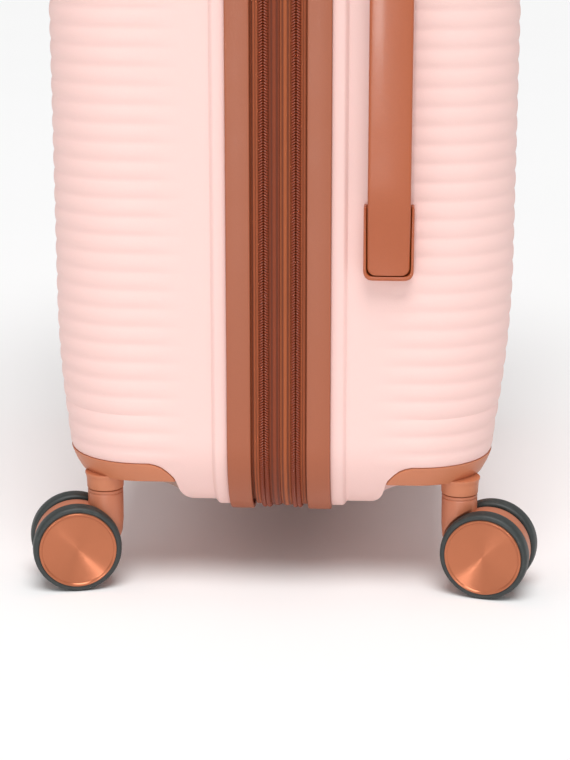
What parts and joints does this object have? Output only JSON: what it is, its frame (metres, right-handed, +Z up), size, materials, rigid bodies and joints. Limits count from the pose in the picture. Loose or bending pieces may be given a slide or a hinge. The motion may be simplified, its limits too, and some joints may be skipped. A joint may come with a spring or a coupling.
{
  "type": "hard shell suitcase on wheels",
  "caption": "Ribbed hard shell suitcase with two hinged halves, zips, carry handles, telescopic handle and twin-wheel castors.",
  "frame": {"origin": "on the floor under the middle of the case: the middle of its bounding box in plan, at its lowest point", "axes": "+Z up, X across the width with the side handle and lock on +X, Y through the depth with the lid half towards -Y and the telescopic handle towards +Y"},
  "size_m": [0.3966, 0.2894, 0.5489],
  "materials": {
    "shell_plastic": "pale pink moulded shell, soft satin with a fine grain",
    "trim_strip": "cognac brown trim with a fine leather grain",
    "lining_cloth": "thin woven polyester lining",
    "guard_plastic": "cognac brown moulded plastic, fine matt texture",
    "webbing": "woven webbing",
    "zip_teeth": "dark brown nylon coil on woven tape",
    "zip_fabric": "orange-brown woven fabric",
    "handle_plastic": "cognac brown soft moulded plastic",
    "tube_aluminium": "satin anodised tube",
    "button_plastic": "darker brown plastic",
    "dial_plastic": "cream number dials",
    "plated_metal": "copper-toned plated metal",
    "castor_plastic": "cognac brown satin plastic",
    "axle_steel": "bright steel axle",
    "tyre_rubber": "black rubber tyre",
    "cap_gloss": "glossy brown cap with fine turned rings"
  },
  "bodies": {
    "back_half": {"back_shell": "shell_plastic", "back_trim": "trim_strip", "back_lining": "lining_cloth", "back_guards": "guard_plastic", "packing_straps": "webbing", "back_zip_half": "zip_teeth", "gusset": "zip_fabric", "side_handle_trays": "handle_plastic", "top_handle_trays": "handle_plastic", "lock_body": "guard_plastic", "trolley_cup": "guard_plastic", "trolley_sleeves": "tube_aluminium"},
    "mid_band": {"strip_between_zips": "zip_fabric", "mid_zip_halves": "zip_teeth"},
    "lid": {"lid_shell": "shell_plastic", "lid_trim": "trim_strip", "lid_lining": "lining_cloth", "lid_guards": "guard_plastic", "lid_zip_half": "zip_teeth", "hinge_fabric": "zip_fabric"},
    "side_handle": {"side_handle_strap": "handle_plastic"},
    "top_handle": {"top_handle_strap": "handle_plastic"},
    "trolley_lower": {"trolley_lower_tubes": "tube_aluminium"},
    "trolley_upper": {"trolley_upper_tubes": "tube_aluminium", "trolley_grip": "guard_plastic"},
    "button": {"release_button": "button_plastic"},
    "dial_upper": {"lock_dial_upper": "dial_plastic"},
    "dial_middle": {"lock_dial_middle": "dial_plastic"},
    "dial_lower": {"lock_dial_lower": "dial_plastic"},
    "latch": {"lock_latch": "plated_metal"},
    "slider_upper": {"main_slider_upper": "plated_metal"},
    "slider_lower": {"main_slider_lower": "plated_metal"},
    "slider_expansion": {"expansion_slider": "plated_metal"},
    "tab_upper": {"main_tab_upper": "plated_metal"},
    "tab_lower": {"main_tab_lower": "plated_metal"},
    "tab_expansion": {"expansion_tab": "plated_metal"},
    "castor_lid_right": {"fork_lid_right": "castor_plastic", "axle_lid_right": "axle_steel"},
    "wheel_lid_right_a": {"tyre_lid_right_a": "tyre_rubber", "hub_lid_right_a": "cap_gloss"},
    "wheel_lid_right_b": {"tyre_lid_right_b": "tyre_rubber", "hub_lid_right_b": "cap_gloss"},
    "castor_lid_left": {"fork_lid_left": "castor_plastic", "axle_lid_left": "axle_steel"},
    "wheel_lid_left_a": {"tyre_lid_left_a": "tyre_rubber", "hub_lid_left_a": "cap_gloss"},
    "wheel_lid_left_b": {"tyre_lid_left_b": "tyre_rubber", "hub_lid_left_b": "cap_gloss"},
    "castor_back_right": {"fork_back_right": "castor_plastic", "axle_back_right": "axle_steel"},
    "wheel_back_right_a": {"tyre_back_right_a": "tyre_rubber", "hub_back_right_a": "cap_gloss"},
    "wheel_back_right_b": {"tyre_back_right_b": "tyre_rubber", "hub_back_right_b": "cap_gloss"},
    "castor_back_left": {"fork_back_left": "castor_plastic", "axle_back_left": "axle_steel"},
    "wheel_back_left_a": {"tyre_back_left_a": "tyre_rubber", "hub_back_left_a": "cap_gloss"},
    "wheel_back_left_b": {"tyre_back_left_b": "tyre_rubber", "hub_back_left_b": "cap_gloss"}
  },
  "joints": [
    {"name": "expansion_slide", "type": "slide", "parent": "back_half", "child": "mid_band", "axis": [0, -1, 0], "range_m": [0, 0.025], "deforming": ["gusset"]},
    {"name": "lid_hinge", "type": "hinge", "parent": "mid_band", "child": "lid", "pos_m": [-0.1905, -0.008, 0.29], "axis": [0, 0, -1], "range_deg": [0, 180], "deforming": ["hinge_fabric"]},
    {"name": "side_handle_pull", "type": "slide", "parent": "back_half", "child": "side_handle", "axis": [1, 0, 0], "range_m": [0, 0.006], "stiffness_N_per_m": 1500},
    {"name": "top_handle_pull", "type": "slide", "parent": "back_half", "child": "top_handle", "axis": [0, 0, 1], "range_m": [0, 0.006], "stiffness_N_per_m": 1500},
    {"name": "trolley_lower_slide", "type": "slide", "parent": "back_half", "child": "trolley_lower", "axis": [0, 0, 1], "range_m": [0, 0.225]},
    {"name": "trolley_upper_slide", "type": "slide", "parent": "trolley_lower", "child": "trolley_upper", "axis": [0, 0, 1], "range_m": [0, 0.225]},
    {"name": "release_button_press", "type": "slide", "parent": "trolley_upper", "child": "button", "axis": [0, 0, -1], "range_m": [0, 0.003], "stiffness_N_per_m": 600},
    {"name": "dial_upper_turn", "type": "hinge", "parent": "back_half", "child": "dial_upper", "pos_m": [0.1889, 0.05, 0.468], "axis": [0, 0, 1], "continuous": true},
    {"name": "dial_middle_turn", "type": "hinge", "parent": "back_half", "child": "dial_middle", "pos_m": [0.1889, 0.05, 0.46], "axis": [0, 0, 1], "continuous": true},
    {"name": "dial_lower_turn", "type": "hinge", "parent": "back_half", "child": "dial_lower", "pos_m": [0.1889, 0.05, 0.452], "axis": [0, 0, 1], "continuous": true},
    {"name": "lock_latch_slide", "type": "slide", "parent": "back_half", "child": "latch", "axis": [0, 0, 1], "range_m": [0, 0.004], "stiffness_N_per_m": 300},
    {"name": "slider_upper_run", "type": "slide", "parent": "mid_band", "child": "slider_upper", "axis": [0, 0, 1], "range_m": [0, 0.026]},
    {"name": "slider_lower_run", "type": "slide", "parent": "mid_band", "child": "slider_lower", "axis": [0, 0, -1], "range_m": [0, 0.345]},
    {"name": "slider_expansion_run", "type": "slide", "parent": "mid_band", "child": "slider_expansion", "axis": [-1, 0, 0], "range_m": [0, 0.24]},
    {"name": "tab_upper_swing", "type": "hinge", "parent": "slider_upper", "child": "tab_upper", "pos_m": [0.19225, -0.008, 0.458], "axis": [0, 0, -1], "range_deg": [0, 178]},
    {"name": "tab_lower_swing", "type": "hinge", "parent": "slider_lower", "child": "tab_lower", "pos_m": [0.19225, -0.008, 0.4455], "axis": [0, 0, -1], "range_deg": [0, 178]},
    {"name": "tab_expansion_swing", "type": "hinge", "parent": "slider_expansion", "child": "tab_expansion", "pos_m": [0.12, 0.0093, 0.54225], "axis": [-1, 0, 0], "range_deg": [0, 178]},
    {"name": "castor_lid_right_swivel", "type": "hinge", "parent": "lid", "child": "castor_lid_right", "pos_m": [0.163, -0.0995, 0.04], "axis": [0, 0, 1], "continuous": true},
    {"name": "wheel_lid_right_a_roll", "type": "hinge", "parent": "castor_lid_right", "child": "wheel_lid_right_a", "pos_m": [0.16664, -0.11662, 0.025], "axis": [0.9781, 0.2079, 0], "continuous": true},
    {"name": "wheel_lid_right_b_roll", "type": "hinge", "parent": "castor_lid_right", "child": "wheel_lid_right_b", "pos_m": [0.16664, -0.11662, 0.025], "axis": [0.9781, 0.2079, 0], "continuous": true},
    {"name": "castor_lid_left_swivel", "type": "hinge", "parent": "lid", "child": "castor_lid_left", "pos_m": [-0.163, -0.0995, 0.04], "axis": [0, 0, 1], "continuous": true},
    {"name": "wheel_lid_left_a_roll", "type": "hinge", "parent": "castor_lid_left", "child": "wheel_lid_left_a", "pos_m": [-0.16753, -0.1164, 0.025], "axis": [0.9659, -0.2588, 0], "continuous": true},
    {"name": "wheel_lid_left_b_roll", "type": "hinge", "parent": "castor_lid_left", "child": "wheel_lid_left_b", "pos_m": [-0.16753, -0.1164, 0.025], "axis": [0.9659, -0.2588, 0], "continuous": true},
    {"name": "castor_back_right_swivel", "type": "hinge", "parent": "back_half", "child": "castor_back_right", "pos_m": [0.163, 0.1005, 0.04], "axis": [0, 0, 1], "continuous": true},
    {"name": "wheel_back_right_a_roll", "type": "hinge", "parent": "castor_back_right", "child": "wheel_back_right_a", "pos_m": [0.16738, 0.11744, 0.025], "axis": [-0.9681, 0.2504, 0], "continuous": true},
    {"name": "wheel_back_right_b_roll", "type": "hinge", "parent": "castor_back_right", "child": "wheel_back_right_b", "pos_m": [0.16738, 0.11744, 0.025], "axis": [-0.9681, 0.2504, 0], "continuous": true},
    {"name": "castor_back_left_swivel", "type": "hinge", "parent": "back_half", "child": "castor_back_left", "pos_m": [-0.163, 0.1005, 0.04], "axis": [0, 0, 1], "continuous": true},
    {"name": "wheel_back_left_a_roll", "type": "hinge", "parent": "castor_back_left", "child": "wheel_back_left_a", "pos_m": [-0.17175, 0.08535, 0.025], "axis": [0.866, -0.5, 0], "continuous": true},
    {"name": "wheel_back_left_b_roll", "type": "hinge", "parent": "castor_back_left", "child": "wheel_back_left_b", "pos_m": [-0.17175, 0.08535, 0.025], "axis": [0.866, -0.5, 0], "continuous": true}
  ]
}
